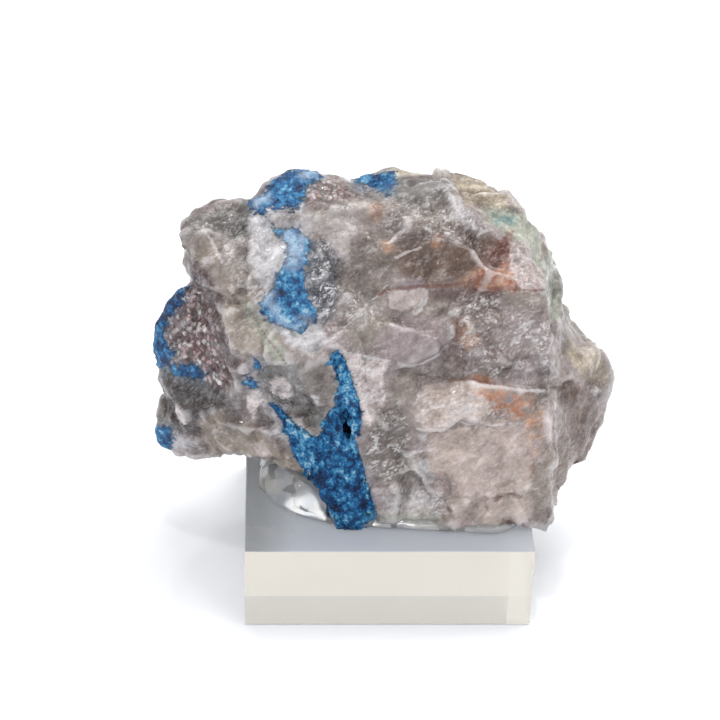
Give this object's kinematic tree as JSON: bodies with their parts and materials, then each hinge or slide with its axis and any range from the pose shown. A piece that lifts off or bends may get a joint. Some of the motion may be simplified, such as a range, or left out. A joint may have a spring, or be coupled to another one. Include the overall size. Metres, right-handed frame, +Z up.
{
  "type": "shattuckite mineral specimen on an acrylic block",
  "caption": "Rough piece of cloudy quartz with veins and crusts of blue shattuckite, glued to a small square block of clear acrylic.",
  "frame": {"origin": "centre of the acrylic block's underside", "axes": "+Z up; the stone's main broken face and the block's front look towards -Y; +X to the right when facing it"},
  "size_m": [0.0649, 0.0433, 0.0558],
  "materials": {
    "quartz": "cloudy, broken surface with a waxy sheen",
    "shattuckite": "dull, granular blue mineral",
    "acrylic": "clear polished acrylic",
    "glue": "clear glossy glue"
  },
  "bodies": {
    "root": {"quartz_stone": "quartz", "shattuckite_crust": "shattuckite", "acrylic_block": "acrylic", "mounting_glue": "glue"}
  },
  "joints": []
}
